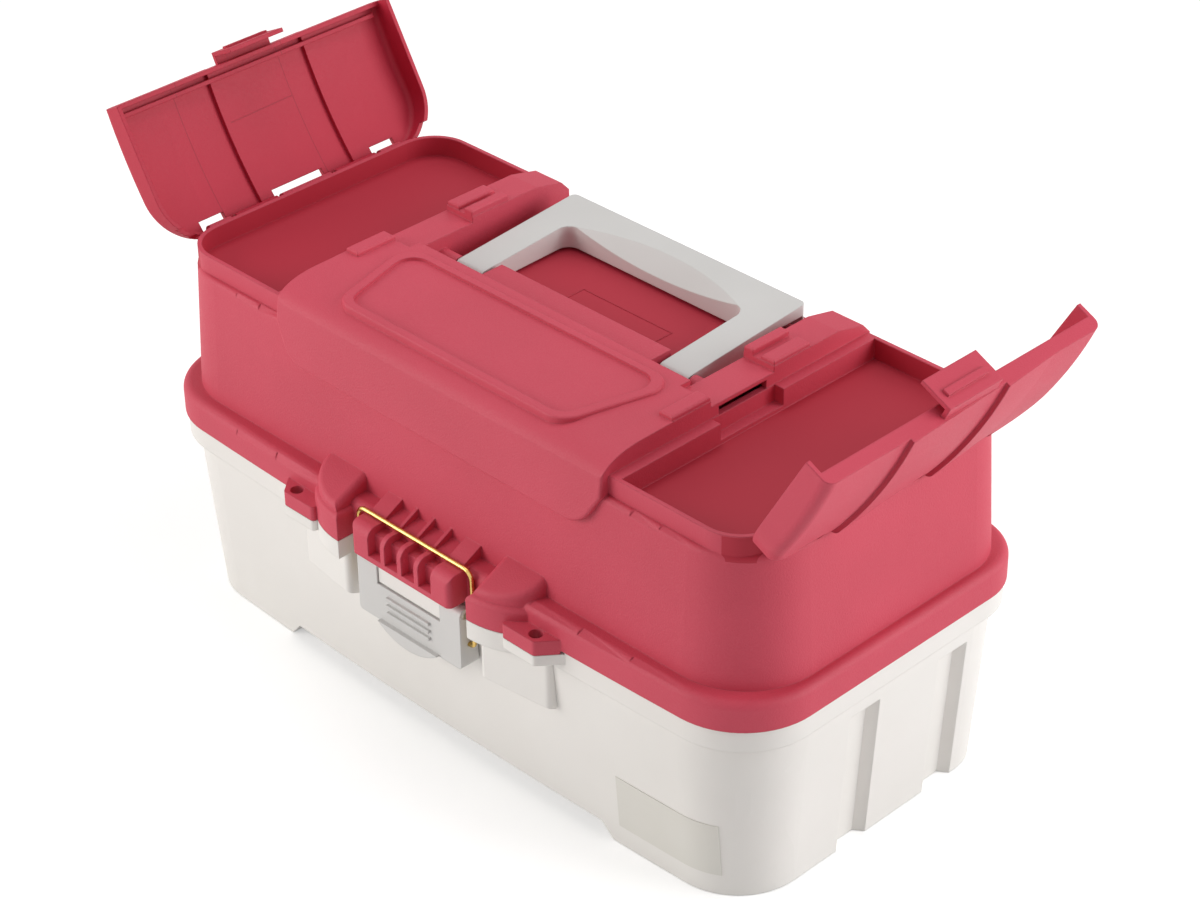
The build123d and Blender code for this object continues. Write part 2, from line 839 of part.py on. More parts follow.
# Guard beside the latch, drawn for the right side: wing with the padlock tab, and a sloping dome
guard_top = lid_bottom + guard_rise
with BuildPart() as guard_dome:
    add(guard_block(guard_inset, skirt_bottom, guard_top))
    side_profile(
        [
            (guard_back, guard_top),
            (guard_front, guard_top - guard_fall),
            (guard_front, guard_top + bite),
            (guard_back, guard_top + bite),
        ],
        (guard_inner, guard_outer),
        Mode.SUBTRACT,
    )
    slope_face = guard_dome.faces().filter_by(lambda face: face.normal_at().Z > abs(face.normal_at().Y))[0]
    fillet(slope_face.edges().sort_by(Axis.Y)[:-1], guard_round)
with BuildPart() as guard_form:
    add(guard_block(0, skirt_bottom, lid_bottom + wing_height))
    fillet(guard_form.faces().sort_by(Axis.Z)[-1].edges().sort_by(Axis.Y)[:-1], wing_round)
    add(guard_dome.part)
    plan_block(tab_plan, (skirt_bottom, tab_top), tab_round)
    block((0, far), (rim_face - clearance, far), (0, lid_bottom), Mode.SUBTRACT)
    with Locations((*padlock_place, lid_bottom)):
        Cylinder(padlock_radius, far, mode=Mode.SUBTRACT)

# Keeper for the bail: a block on the lid's front with windows, a ledge for the wire and ribs behind it
window_width = (2 * (keeper_half - keeper_end) - (keeper_windows - 1) * keeper_rib) / keeper_windows
window_pitch = window_width + keeper_rib
window_places = [(i - (keeper_windows - 1) / 2) * window_pitch for i in range(keeper_windows)]
keeper_back = wall / 2 - lid_half_depth
keeper_stops = [(place - keeper_thin_rib / 2, place + keeper_thin_rib / 2) for place in (
    low + window_pitch / 2 for low in window_places[:-1])]
for side in sides:
    keeper_stops.append((side * (keeper_half - keeper_end), side * (keeper_half - keeper_thin_rib)))
with BuildPart() as keeper_form:
    plan_block(
        [
            (-keeper_half, keeper_front),
            (keeper_half, keeper_front),
            (keeper_half, keeper_back),
            (-keeper_half, keeper_back),
        ],
        (skirt_bottom, keeper_ledge),
        keeper_corner,
    )
    with BuildSketch(Plane.YZ.offset(-keeper_half)) as keeper_side:
        with BuildLine():
            Polyline(
                (keeper_front, skirt_bottom),
                (keeper_front, keeper_ledge),
                (keeper_back, keeper_ledge),
                (keeper_back, lid_bottom),
                (rim_face - clearance, lid_bottom),
                (rim_face - clearance, skirt_bottom),
                close=True,
            )
        make_face()
        fillet(keeper_side.vertices().sort_by(Axis.X)[:2].sort_by(Axis.Y)[-1], keeper_round)
    extrude(amount=2 * keeper_half, mode=Mode.INTERSECT)
    for place in window_places:
        window = (place - window_width / 2, place + window_width / 2)
        block(
            window,
            (keeper_front, keeper_front + keeper_window_depth),
            (skirt_bottom + keeper_sill, far),
            Mode.SUBTRACT,
        )
        block(window, (keeper_front, keeper_ledge_rear), (keeper_ledge - keeper_pit, far), Mode.SUBTRACT)
    side_profile(
        [
            (keeper_ledge_rear, keeper_ledge),
            (keeper_back, keeper_ledge + keeper_floor_rise),
            (keeper_back, keeper_ledge - bite),
            (keeper_ledge_rear, keeper_ledge - bite),
        ],
        (keeper_thin_rib - keeper_half, keeper_half - keeper_thin_rib),
    )
    for stop in keeper_stops:
        side_profile(
            [
                (keeper_ledge_rear, keeper_ledge - bite),
                (keeper_ledge_rear, keeper_ledge + keeper_rib_foot),
                (keeper_back, keeper_ledge + keeper_rib_rise),
                (keeper_back, keeper_ledge - bite),
            ],
            stop,
        )

# Platform on top of the bridge, a trapezium with a shallow recess
platform_plan = [
    (-platform_front_half, platform_front),
    (platform_front_half, platform_front),
    (platform_rear_half, platform_rear),
    (-platform_rear_half, platform_rear),
]
recess_plan = [
    (-platform_front_half + recess_margin, platform_front + recess_margin),
    (platform_front_half - recess_margin, platform_front + recess_margin),
    (platform_rear_half - recess_rear_margin, platform_rear - recess_margin),
    (-platform_rear_half + recess_rear_margin, platform_rear - recess_margin),
]
with BuildPart() as platform_form:
    plan_block(platform_plan, (rail_dip, platform_top), platform_corner)
    fillet(platform_form.faces().sort_by(Axis.Z)[-1].edges(), platform_round)
    plan_block(recess_plan, (platform_top - recess_depth, platform_top), recess_corner, Mode.SUBTRACT)

# Lid shell: flange, drafted wall, bridge, bins, handle pocket, latch keeper, guards and knuckles
with BuildPart() as lid_shell:
    with BuildSketch(Plane.XY.offset(lid_bottom)):
        add(flange_plan(0))
    extrude(amount=flange_height)
    fillet(lid_shell.faces().sort_by(Axis.Z)[-1].edges(), flange_round)
    with BuildSketch(Plane.XY.offset(lid_bottom)):
        add(lid_plan(lid_bottom, 0))
    extrude(amount=shoulder_height - lid_bottom, taper=lid_draft)
    fillet(lid_shell.faces().sort_by(Axis.Z)[-1].edges(), shoulder_round)
    add(bridge_form.part)
    add(platform_form.part)
    add(keeper_form.part)
    add(guard_form.part)
    add(mirror(guard_form.part, about=Plane.YZ, mode=Mode.PRIVATE))
    for side in sides:
        add(bin_form(side, 0, bridge_half - wall, bin_floor, lip_top))
    with BuildSketch(Plane.XY.offset(lid_bottom)):
        add(lid_plan(lid_bottom, wall))
    extrude(amount=ceiling - lid_bottom, taper=lid_draft, mode=Mode.SUBTRACT)
    with BuildSketch(Plane.XY.offset(lid_bottom)):
        add(flange_plan(wall))
    extrude(amount=flange_height - wall, mode=Mode.SUBTRACT)
    hollow_crest = [
        (inset + bridge_wall - shoulder_half_depth, bridge_top - drop - bridge_wall) for inset, drop in hollow_slope
    ]
    side_profile(
        [
            (hollow_crest[0][0], ceiling),
            *hollow_crest,
            (hollow_crest[0][0] + hollow_run, rail_dip - bridge_wall),
            (pocket_front - bridge_wall, rail_dip - bridge_wall),
            (pocket_front - bridge_wall, ceiling),
        ],
        (-bridge_half + bridge_wall, bridge_half - bridge_wall),
        Mode.SUBTRACT,
    )
    block((-rail_inner, rail_inner), (pocket_front, far), (pocket_floor, far), Mode.SUBTRACT)
    block((-ledge_half, ledge_half), (pocket_front - bite, ledge_rear), (pocket_floor - bite, ledge_top))
    for side in sides:
        block(
            (side * rail_inner, side * far),
            (-rail_dip_half, rail_dip_half),
            (rail_dip, far),
            Mode.SUBTRACT,
        )
        block(
            (side * (rail_inner + bridge_wall), side * (bridge_half - bridge_wall)),
            (pocket_front - bridge_wall, bridge_rear - 2 * bridge_wall),
            (ceiling, rail_dip - bridge_wall),
            Mode.SUBTRACT,
        )
        boss_edge = side * (bridge_half - clearance)
        for front in (-rail_dip_half - boss_length, rail_dip_half + clearance):
            add(
                raised_boss(
                    (boss_edge, boss_edge - side * boss_width),
                    (front, front + boss_length),
                    (rail_dip, bridge_top + boss_rise),
                )
            )
        add(
            raised_boss(
                (side * (rail_inner + clearance), side * (rail_inner + clearance + inner_boss_width)),
                (rail_dip_half, rail_dip_half + boss_length),
                (rail_dip, bridge_top + inner_boss_rise),
            )
        )
        add(bin_form(side, lip_thickness, bin_inner, bin_floor, far), mode=Mode.SUBTRACT)
        block(
            (side * (bridge_half + clearance), side * (bin_inner + clearance)),
            (-catch_half, catch_half),
            (catch_ledge, far),
            Mode.SUBTRACT,
        )
        block(
            (side * (bridge_half - 2 * bridge_wall), side * (bridge_half + bridge_wall)),
            (-slot_half, slot_half),
            (slot_low, slot_high),
            Mode.SUBTRACT,
        )
        handle_boss = (side * (handle_outer + handle_boss_gap), side * (rail_inner + bridge_wall))
        bar_x(handle_pivot, handle_end_radius, handle_boss)
        bar_x(handle_pivot, handle_pin_radius + running, handle_boss, Mode.SUBTRACT)
        lid_boss = (side * (lug_outer + clearance), side * (flange_half_length - wall / 2))
        bar_x(lid_pin, boss_radius, lid_boss)
        bar_x(lid_pin, pin_radius + running, lid_boss, Mode.SUBTRACT)
        for place, width in door_knuckles:
            knuckle = (place - width / 2, place + width / 2)
            block(
                (side * (lip_outer - lip_thickness), side * door_hinge_x),
                knuckle,
                (bin_floor, door_hinge_z),
            )
            bar_y(side * door_hinge_x, door_hinge_z, door_barrel, knuckle)
            bar_y(side * door_hinge_x, door_hinge_z, door_rod_radius + running, knuckle, Mode.SUBTRACT)
        for place in hinge_places:
            near = place + side * (base_knuckle / 2 + knuckle_gap)
            knuckle = (near, near + side * lid_knuckle)
            bar_x(hinge_line, hinge_barrel, knuckle)
            block(
                knuckle,
                (flange_half_depth - wall / 2, hinge_line[0]),
                (lid_bottom, hinge_line[1] + hinge_barrel),
            )
            bar_x(hinge_line, hinge_rod_radius + running, knuckle, Mode.SUBTRACT)
finish(lid_shell, "lid_shell")

# Pins of the lid's rear hinge
pin_half = base_knuckle / 2 + knuckle_gap + lid_knuckle
with BuildPart() as lid_hinge_pins:
    for place in hinge_places:
        bar_x(hinge_line, hinge_rod_radius, (place - pin_half, place + pin_half))
finish(lid_hinge_pins, "lid_hinge_pins")

# Bin door, drawn closed on the right: a crowned shell with hinge barrels, a snap tab and a rib inside
door_skin = door_solid(0)
door_core = door_solid(door_wall)
rib_x = door_latch_edge + door_rib_inset
tab_face = door_latch_edge - door_tab_reach
with BuildPart() as door_rib:
    block(
        (rib_x, rib_x + door_wall),
        (door_rib_end - door_half_depth, door_half_depth - door_rib_end),
        (door_top - door_wall - door_rib_drop, far),
    )
    add(door_shape(door_wall / 2), mode=Mode.INTERSECT)
with BuildPart() as door_closed:
    add(door_skin)
    add(door_core, mode=Mode.SUBTRACT)
    end_profile(
        [
            (door_latch_edge - clearance, 0),
            (door_latch_edge - clearance, door_latch_hem),
            (door_hem_notch, door_hem),
            (door_hem_notch, door_hinge_hem),
            (far, door_hinge_hem),
            (far, 0),
        ],
        (-far, far),
        Mode.SUBTRACT,
    )
    block(
        (door_latch_edge - clearance, door_latch_edge + door_wall + clearance),
        (door_wall - door_half_depth, door_half_depth - door_wall),
        (0, door_top - door_latch_wall),
        Mode.SUBTRACT,
    )
    add(door_rib.part)
    for place, width in door_knuckles:
        block(
            (door_hinge_x - door_barrel - door_notch, far),
            (place - width / 2 - door_knuckle_gap, place + width / 2 + door_knuckle_gap),
            (0, far),
            Mode.SUBTRACT,
        )
    for barrel in door_barrels:
        bar_y(door_hinge_x, door_hinge_z, door_barrel, barrel)
        block(
            (door_hinge_x, door_outer - door_wall / 2),
            barrel,
            (door_hinge_z, door_hinge_top - door_wall / 2),
        )
    bar_y(door_hinge_x, door_hinge_z, door_rod_radius + running, (-far, far), Mode.SUBTRACT)
    block(
        (tab_face, door_latch_edge + door_wall),
        (-door_tab_half, door_tab_half),
        (door_top - door_tab_thickness, door_top),
    )
    block(
        (tab_face, tab_face + door_tab_thickness),
        (-door_tab_half, door_tab_half),
        (catch_ledge + door_tab_gap, door_top),
    )
    block(
        (tab_face - door_tab_barb, tab_face),
        (door_tab_barb_inset - door_tab_half, door_tab_half - door_tab_barb_inset),
        (slot_low + clearance, slot_high - clearance),
    )
door_axis = Axis((door_hinge_x, 0, door_hinge_z), (0, 1, 0))
with BuildPart() as right_door:
    add(door_closed.part.rotate(door_axis, right_door_open))
finish(right_door, "right_door")
with BuildPart() as left_door:
    add(door_closed.part.rotate(door_axis, left_door_open).rotate(Axis.Z, 180))
finish(left_door, "left_door")

# Rods of the doors' hinges
rod_half = door_knuckles[-1][0] + door_knuckles[-1][1] / 2
with BuildPart() as right_door_rod:
    bar_y(door_hinge_x, door_hinge_z, door_rod_radius, (-rod_half, rod_half))
finish(right_door_rod, "right_door_rod")
with BuildPart() as left_door_rod:
    bar_y(-door_hinge_x, door_hinge_z, door_rod_radius, (-rod_half, rod_half))
finish(left_door_rod, "left_door_rod")

# Folding handle: a U-shaped frame, hollow from below, scooped on its grip, on a pin at each end
arm_top_front = handle_pivot[1] + handle_end_radius
handle_slope = (handle_rear_top - arm_top_front) / (handle_rear - handle_pivot_y)
grip_front_top = arm_top_front + handle_slope * (grip_front - handle_pivot_y)
arm_side = [
    (handle_pivot_y, handle_pivot[1] - handle_end_radius),
    (handle_pivot_y, arm_top_front),
    (handle_rear, handle_rear_top),
    (handle_rear, handle_bottom),
    (grip_front, handle_bottom),
]
arm_hollow_front = handle_pivot_y + 2 * handle_end_radius
arm_hollow = [
    (arm_hollow_front, 0),
    (arm_hollow_front, arm_top_front + handle_slope * (arm_hollow_front - handle_pivot_y) - handle_wall),
    (handle_rear - handle_wall, handle_rear_top - handle_wall),
    (handle_rear - handle_wall, 0),
]
scoop_half = handle_inner - scoop_inset
scoop_rear = grip_front + scoop_bulge
scoop_run = Vector(0, -scoop_bulge, -scoop_fall)
with BuildPart() as handle:
    side_profile(arm_side, (-handle_outer, handle_outer))
    block((-handle_inner, handle_inner), (-far, grip_front), (0, far), Mode.SUBTRACT)
    fillet(handle.edges().filter_by(Axis.Z).group_by(Axis.Y)[-2], handle_inner_corner)
    fillet(handle.edges().filter_by(Axis.Z).group_by(Axis.Y)[-1], handle_corner)
    with BuildSketch(Plane.XY.offset(grip_front_top + handle_slope * scoop_bulge)):
        with BuildLine():
            ThreePointArc((-scoop_half, grip_front), (0, scoop_rear), (scoop_half, grip_front))
            Polyline(
                (scoop_half, grip_front),
                (scoop_half, grip_front - scoop_bulge),
                (-scoop_half, grip_front - scoop_bulge),
                (-scoop_half, grip_front),
            )
        make_face()
    extrude(amount=2 * scoop_run.length, dir=scoop_run, mode=Mode.SUBTRACT)
    for side in sides:
        arm = (side * handle_inner, side * handle_outer)
        bar_x(handle_pivot, handle_end_radius, arm)
        side_profile(
            arm_hollow,
            (side * (handle_inner + handle_wall), side * (handle_outer - handle_wall)),
            Mode.SUBTRACT,
        )
        bar_x(handle_pivot, handle_pin_radius + running, arm, Mode.SUBTRACT)
        block(
            (side * (handle_outer - 2 * handle_wall), side * far),
            (handle_rear - handle_skirt_cut, handle_rear - handle_wall),
            (0, grip_front_top - handle_lip),
            Mode.SUBTRACT,
        )
    block(
        (-handle_inner - handle_wall, handle_inner + handle_wall),
        (scoop_rear, handle_rear - handle_wall),
        (0, grip_front_top - handle_wall),
        Mode.SUBTRACT,
    )
finish(handle, "handle")
with BuildPart() as handle_pins:
    for side in sides:
        bar_x(handle_pivot, handle_pin_radius, (side * handle_inner, side * (rail_inner + bridge_wall)))
finish(handle_pins, "handle_pins")

# Draw latch: lever on the base, its pin, and the wire bail that hooks over the lid's keeper
arm_shoulder = rim_bottom - lever_rim_gap
with BuildPart() as latch_lever:
    for side in sides:
        arm = (side * (lever_half - lever_arm), side * lever_half)
        side_profile(
            [
                (lever_front, lever_bottom),
                (lever_front, lever_pivot[1]),
                (lever_rear, lever_pivot[1]),
                (lever_rear, arm_shoulder),
                (tub_face(arm_shoulder) - lever_wall_gap, arm_shoulder),
                (tub_face(lever_bottom) - lever_wall_gap, lever_bottom),
            ],
            arm,
        )
        bar_x(lever_pivot, lever_barrel, arm)
    block(
        (-lever_half, lever_half),
        (lever_front, lever_front + lever_panel),
        (lever_bottom, lever_panel_top),
    )
    low_edges = latch_lever.edges().filter_by(Axis.Y).group_by(Axis.Z)[0].sort_by(Axis.X)
    fillet([low_edges[0], low_edges[-1]], lever_corner)
    for drop in thumb_rib_drops:
        block(
            (-thumb_rib_half, thumb_rib_half),
            (lever_front - thumb_rib_size, lever_front),
            (lever_panel_top - drop - thumb_rib_size / 2, lever_panel_top - drop + thumb_rib_size / 2),
        )
    lip_chord = lever_bottom + thumb_lip_height
    with BuildSketch(Plane.XZ.offset(-lever_front - lever_panel)):
        with BuildLine():
            ThreePointArc(
                (-thumb_lip_half, lip_chord),
                (0, lever_bottom - thumb_lip_hang),
                (thumb_lip_half, lip_chord),
            )
            Line((thumb_lip_half, lip_chord), (-thumb_lip_half, lip_chord))
        make_face()
    extrude(amount=lever_panel + thumb_lip_reach)
    bar_x(lever_pivot, lever_pin_radius + running, (-lever_half, lever_half), Mode.SUBTRACT)
    for side in sides:
        hole_end = bail_half - bail_hook - clearance
        bar_x(bail_pivot, bail_wire + running, (side * hole_end, side * lever_half), Mode.SUBTRACT)
finish(latch_lever, "latch_lever")
with BuildPart() as latch_pin:
    bar_x(lever_pivot, lever_pin_radius, (-lever_half, lever_half))
finish(latch_pin, "latch_pin")
with BuildPart() as latch_bail:
    with BuildLine() as bail_path:
        FilletPolyline(
            (-bail_half + bail_hook, *bail_pivot),
            (-bail_half, *bail_pivot),
            (-bail_half, bail_pivot[0], bail_top),
            (bail_half, bail_pivot[0], bail_top),
            (bail_half, *bail_pivot),
            (bail_half - bail_hook, *bail_pivot),
            radius=(bail_foot_bend, bail_bend, bail_bend, bail_foot_bend),
        )
    with BuildSketch(Plane(origin=bail_path.wire() @ 0, z_dir=bail_path.wire() % 0)):
        Circle(bail_wire)
    sweep()
finish(latch_bail, "latch_bail")

# Trays that ride up and back with the lid
with BuildPart() as upper_tray:
    tray_shell(lug_outer, upper_tray_bottom, upper_tray_top)
    for side in sides:
        lug = (side * lug_inner, side * lug_outer)
        for pin in (upper_pin, lid_pin):
            bar_x(pin, lug_half_width, lug)
            block(lug, (pin[0] - lug_half_width, pin[0] + lug_half_width), (pin[1], upper_tray_bottom + tray_wall))
            bar_x(pin, pin_radius + running, lug, Mode.SUBTRACT)
finish(upper_tray, "upper_tray")
with BuildPart() as lower_tray:
    tray_shell(lower_tray_end, lower_tray_bottom, lower_tray_top)
    for side in sides:
        seat = (side * (lower_tray_end - tray_boss_length), side * (lower_tray_end - tray_wall / 2))
        for pin in (lower_pin, front_pin):
            bar_x(pin, boss_radius, seat)
            bar_x(pin, pin_radius + running, (side * (lower_tray_end - tray_boss_length), side * far), Mode.SUBTRACT)
finish(lower_tray, "lower_tray")
with BuildPart() as upper_tray_dividers:
    tray_dividers(upper_tray_bottom, upper_tray_top)
finish(upper_tray_dividers, "upper_tray_dividers")
with BuildPart() as lower_tray_dividers:
    tray_dividers(lower_tray_bottom, lower_tray_top)
finish(lower_tray_dividers, "lower_tray_dividers")

# Arms that carry the trays, a long one behind and a short one in front at each end
with BuildPart() as right_rear_arm:
    tray_arm(1, (rear_pivot, lower_pin, upper_pin))
finish(right_rear_arm, "right_rear_arm")
with BuildPart() as left_rear_arm:
    tray_arm(-1, (rear_pivot, lower_pin, upper_pin))
finish(left_rear_arm, "left_rear_arm")
with BuildPart() as right_front_arm:
    tray_arm(1, (front_pivot, front_pin))
finish(right_front_arm, "right_front_arm")
with BuildPart() as left_front_arm:
    tray_arm(-1, (front_pivot, front_pin))
finish(left_front_arm, "left_front_arm")

# Pins of the tray linkage
with BuildPart() as base_arm_pins:
    for side in sides:
        for pivot in (rear_pivot, front_pivot):
            bar_x(pivot, pin_radius, (side * arm_inner, side * tub_boss_end(pivot)))
finish(base_arm_pins, "base_arm_pins")
with BuildPart() as lid_arm_pins:
    for side in sides:
        bar_x(lid_pin, pin_radius, (side * lug_inner, side * (flange_half_length - wall)))
finish(lid_arm_pins, "lid_arm_pins")
with BuildPart() as upper_tray_pins:
    for side in sides:
        bar_x(upper_pin, pin_radius, (side * lug_inner, side * arm_outer))
finish(upper_tray_pins, "upper_tray_pins")
with BuildPart() as lower_tray_pins:
    for side in sides:
        for pin in (lower_pin, front_pin):
            bar_x(pin, pin_radius, (side * (lower_tray_end - tray_boss_length), side * arm_outer))
finish(lower_tray_pins, "lower_tray_pins")
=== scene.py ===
"""Looks of the tackle box: photo camera, soft studio light and moulded plastic, metal and wire materials."""
import json

import bmesh
import bpy
from mathutils import Matrix, Vector


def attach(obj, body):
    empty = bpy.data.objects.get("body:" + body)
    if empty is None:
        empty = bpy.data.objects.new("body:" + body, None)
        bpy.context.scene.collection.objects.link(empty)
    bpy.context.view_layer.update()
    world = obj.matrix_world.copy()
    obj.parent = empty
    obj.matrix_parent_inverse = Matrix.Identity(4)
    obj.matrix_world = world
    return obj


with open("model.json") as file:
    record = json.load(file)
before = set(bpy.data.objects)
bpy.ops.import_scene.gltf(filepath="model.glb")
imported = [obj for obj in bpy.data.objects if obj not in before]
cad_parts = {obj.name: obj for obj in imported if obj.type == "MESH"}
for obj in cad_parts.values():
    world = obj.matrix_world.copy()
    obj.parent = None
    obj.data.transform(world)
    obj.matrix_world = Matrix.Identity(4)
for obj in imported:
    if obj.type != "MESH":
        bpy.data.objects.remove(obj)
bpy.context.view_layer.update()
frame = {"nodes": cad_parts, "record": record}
nodes = frame["nodes"]


# Camera, fitted to the photograph
sensor_width_mm = 36.0
lens_mm = 92.92
camera_place = (0.911957, -0.862876, 0.933599)
camera_right = Vector((0.700795, 0.713219, -0.014297))
camera_up = Vector((-0.379290, 0.389507, 0.839299))
camera_back = Vector((0.604173, -0.582754, 0.543482))
near_clip, far_clip = 0.05, 50.0


def add_camera():
    data = bpy.data.cameras.new("photo_camera")
    data.sensor_width = sensor_width_mm
    data.lens = lens_mm
    data.clip_start = near_clip
    data.clip_end = far_clip
    camera = bpy.data.objects.new("photo_camera", data)
    turn = Matrix((camera_right, camera_up, camera_back)).transposed()
    camera.matrix_world = Matrix.Translation(camera_place) @ turn.to_4x4()
    bpy.context.scene.collection.objects.link(camera)
    bpy.context.scene.camera = camera


# Lights, world and floor
plain_white = (1.0, 1.0, 1.0, 1.0)
warm_white = (1.0, 0.975, 0.945)
world_fill = 0.28
world_seen = 1.0
floor_half_side = 12.0
floor_drop = 0.0003
floor_paper = (0.86, 0.86, 0.86, 1.0)
floor_lift = 0.37
box_middle = (0.0, 0.0, 0.1)


def add_area(name, place, target, size, power, colour=(1.0, 1.0, 1.0)):
    data = bpy.data.lights.new(name, "AREA")
    data.shape = "RECTANGLE"
    data.size, data.size_y = size
    data.energy = power
    data.color = colour
    lamp = bpy.data.objects.new(name, data)
    aim = Vector(target) - Vector(place)
    lamp.matrix_world = Matrix.Translation(place) @ aim.to_track_quat("-Z", "Y").to_matrix().to_4x4()
    bpy.context.scene.collection.objects.link(lamp)


def seen_ray(tree):
    """One for rays that look at the white studio: straight, mirrored or through something clear."""
    path = tree.nodes.new("ShaderNodeLightPath")
    total = path.outputs["Is Camera Ray"]
    for name in ("Is Glossy Ray", "Is Transmission Ray"):
        either = tree.nodes.new("ShaderNodeMath")
        either.operation = "MAXIMUM"
        tree.links.new(total, either.inputs[0])
        tree.links.new(path.outputs[name], either.inputs[1])
        total = either.outputs[0]
    return total


def add_world():
    world = bpy.data.worlds.new("studio")
    bpy.context.scene.world = world
    world.use_nodes = True
    tree = world.node_tree
    tree.nodes.clear()
    out = tree.nodes.new("ShaderNodeOutputWorld")
    mix = tree.nodes.new("ShaderNodeMixShader")
    fill = tree.nodes.new("ShaderNodeBackground")
    fill.inputs["Color"].default_value = plain_white
    fill.inputs["Strength"].default_value = world_fill
    seen = tree.nodes.new("ShaderNodeBackground")
    seen.inputs["Color"].default_value = plain_white
    seen.inputs["Strength"].default_value = world_seen
    tree.links.new(seen_ray(tree), mix.inputs["Fac"])
    tree.links.new(fill.outputs[0], mix.inputs[1])
    tree.links.new(seen.outputs[0], mix.inputs[2])
    tree.links.new(mix.outputs[0], out.inputs["Surface"])


def add_floor():
    mesh = bpy.data.meshes.new("floor")
    far = floor_half_side
    corners = [(-far, -far, 0), (far, -far, 0), (far, far, 0), (-far, far, 0)]
    mesh.from_pydata(corners, [], [(0, 1, 2, 3)])
    floor = bpy.data.objects.new("floor", mesh)
    floor.location.z = -floor_drop
    bpy.context.scene.collection.objects.link(floor)
    material = bpy.data.materials.new("floor_paper")
    material.use_nodes = True
    tree = material.node_tree
    tree.nodes.clear()
    out = tree.nodes.new("ShaderNodeOutputMaterial")
    paper = tree.nodes.new("ShaderNodeBsdfDiffuse")
    paper.inputs["Color"].default_value = floor_paper
    lift = tree.nodes.new("ShaderNodeEmission")
    lift.inputs["Color"].default_value = plain_white
    lift.inputs["Strength"].default_value = floor_lift
    both = tree.nodes.new("ShaderNodeAddShader")
    mix = tree.nodes.new("ShaderNodeMixShader")
    tree.links.new(paper.outputs[0], both.inputs[0])
    tree.links.new(lift.outputs[0], both.inputs[1])
    tree.links.new(seen_ray(tree), mix.inputs["Fac"])
    tree.links.new(paper.outputs[0], mix.inputs[1])
    tree.links.new(both.outputs[0], mix.inputs[2])
    tree.links.new(mix.outputs[0], out.inputs["Surface"])
    mesh.materials.append(material)


# Materials
cloud_scale = 14.0
grain_strength = 0.5
metal_grain_depth = 0.00004
metal_grain_strength = 0.3
metal_rounding = 0.0003
bevel_samples = 4
score_depth = -6.0
# Painted shade in the scored lines: how strongly they are darkened and how dark they get
score_shade_mix = 0.35
score_shade = 0.4
deep_roughness = 1.2


def new_material(name):
    material = bpy.data.materials.new(name)
    material.use_nodes = True
    tree = material.node_tree
    shader = tree.nodes["Principled BSDF"]
    return material, tree, shader


def noise(tree, scale, detail=2.0, roughness=0.5):
    place = tree.nodes.new("ShaderNodeTexCoord")
    texture = tree.nodes.new("ShaderNodeTexNoise")
    texture.inputs["Scale"].default_value = scale
    texture.inputs["Detail"].default_value = detail
    texture.inputs["Roughness"].default_value = roughness
    tree.links.new(place.outputs["Object"], texture.inputs["Vector"])
    return texture.outputs["Fac"]


def ramp(tree, value, low, high, low_colour, high_colour):
    node = tree.nodes.new("ShaderNodeValToRGB")
    node.color_ramp.elements[0].position = low
    node.color_ramp.elements[1].position = high
    node.color_ramp.elements[0].color = low_colour
    node.color_ramp.elements[1].color = high_colour
    tree.links.new(value, node.inputs["Fac"])
    return node.outputs["Color"]


def math_node(tree, operation, *values):
    node = tree.nodes.new("ShaderNodeMath")
    node.operation = operation
    for socket, value in zip(node.inputs, values):
        if isinstance(value, (int, float)):
            socket.default_value = value
        else:
            tree.links.new(value, socket)
    return node.outputs[0]


def places(tree):
    """Object coordinates, one output for each axis."""
    place = tree.nodes.new("ShaderNodeTexCoord")
    parts = tree.nodes.new("ShaderNodeSeparateXYZ")
    tree.links.new(place.outputs["Object"], parts.inputs[0])
    return parts.outputs


def within(tree, boxes):
    """One inside any of the boxes, given in millimetres, with x taken on both sides of the middle."""
    x, y, z = places(tree)
    x = math_node(tree, "ABSOLUTE", x)
    total = 0.0
    for ranges in boxes:
        inside = 1.0
        for axis, (low, high) in zip((x, y, z), ranges):
            test = math_node(tree, "COMPARE", axis, (low + high) / 2000, (high - low) / 2000)
            inside = math_node(tree, "MULTIPLY", inside, test)
        total = math_node(tree, "MAXIMUM", total, inside)
    return total


def blend(tree, factor, first, second):
    node = tree.nodes.new("ShaderNodeMix")
    node.data_type = "RGBA"
    tree.links.new(factor, node.inputs["Factor"])
    for socket, value in zip((node.inputs["A"], node.inputs["B"]), (first, second)):
        if isinstance(value, tuple):
            socket.default_value = value
        else:
            tree.links.new(value, socket)
    return node.outputs["Result"]


def bump(tree, shader, value, distance, strength, rounding):
    """Grain of the given depth, over edges softened by a small radius."""
    soft = tree.nodes.new("ShaderNodeBevel")
    soft.samples = bevel_samples
    soft.inputs["Radius"].default_value = rounding
    node = tree.nodes.new("ShaderNodeBump")
    node.inputs["Distance"].default_value = distance
    node.inputs["Strength"].default_value = strength
    tree.links.new(value, node.inputs["Height"])
    tree.links.new(soft.outputs["Normal"], node.inputs["Normal"])
    tree.links.new(node.outputs["Normal"], shader.inputs["Normal"])


